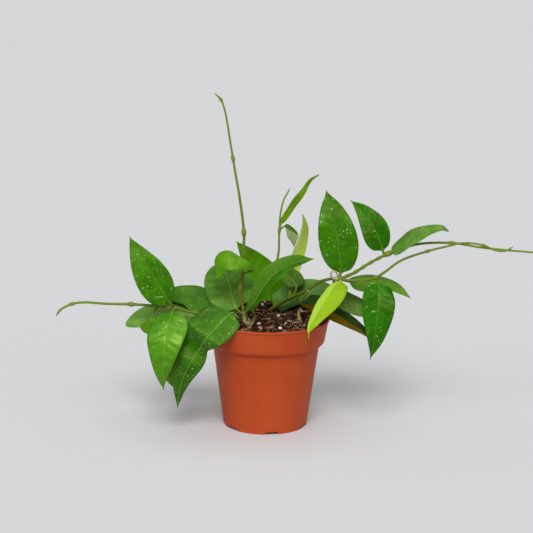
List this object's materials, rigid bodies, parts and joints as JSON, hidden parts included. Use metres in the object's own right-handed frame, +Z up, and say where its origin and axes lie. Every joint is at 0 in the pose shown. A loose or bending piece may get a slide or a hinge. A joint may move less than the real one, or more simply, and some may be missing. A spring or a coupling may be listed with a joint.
{
  "type": "potted hoya plant",
  "caption": "Trailing wax plant with thick speckled leaves on bare vines, standing in a round collared nursery pot filled with potting soil.",
  "frame": {"origin": "centre of the pot's foot, on the surface that it stands on", "axes": "+Z up along the pot's axis, +X to the viewer's right along the long right vine, -Y towards the viewer"},
  "size_m": [0.484, 0.1241, 0.3166],
  "materials": {
    "pot_plastic": "satin terracotta",
    "potting_soil": "damp bark mix",
    "stem": "smooth green to brown bark",
    "leaf": "waxy",
    "young_leaf": "waxy"
  },
  "bodies": {
    "root": {"pot": "pot_plastic", "soil": "potting_soil", "front_stems": "stem", "right_vine": "stem", "leaf_left_upright": "leaf", "leaf_left_hanging": "leaf", "leaf_left_back": "leaf", "leaf_left_low": "leaf", "leaf_left_tucked": "leaf", "leaf_front_large": "leaf", "leaf_corner": "leaf", "leaf_curled": "leaf", "leaf_back_upright": "leaf", "leaf_long_front": "leaf", "leaf_behind_long": "leaf", "leaf_soil_long": "leaf", "leaf_lime_hanging": "young_leaf", "leaf_right_tall": "leaf", "leaf_right_small": "leaf", "leaf_right_sideways": "leaf", "leaf_right_droop": "leaf", "leaf_right_hanging": "leaf", "leaf_right_back": "leaf", "leaf_right_arched": "leaf", "leaf_lime_upright": "young_leaf", "leaf_narrow": "leaf", "leaf_folded_small": "leaf"}
  },
  "joints": []
}
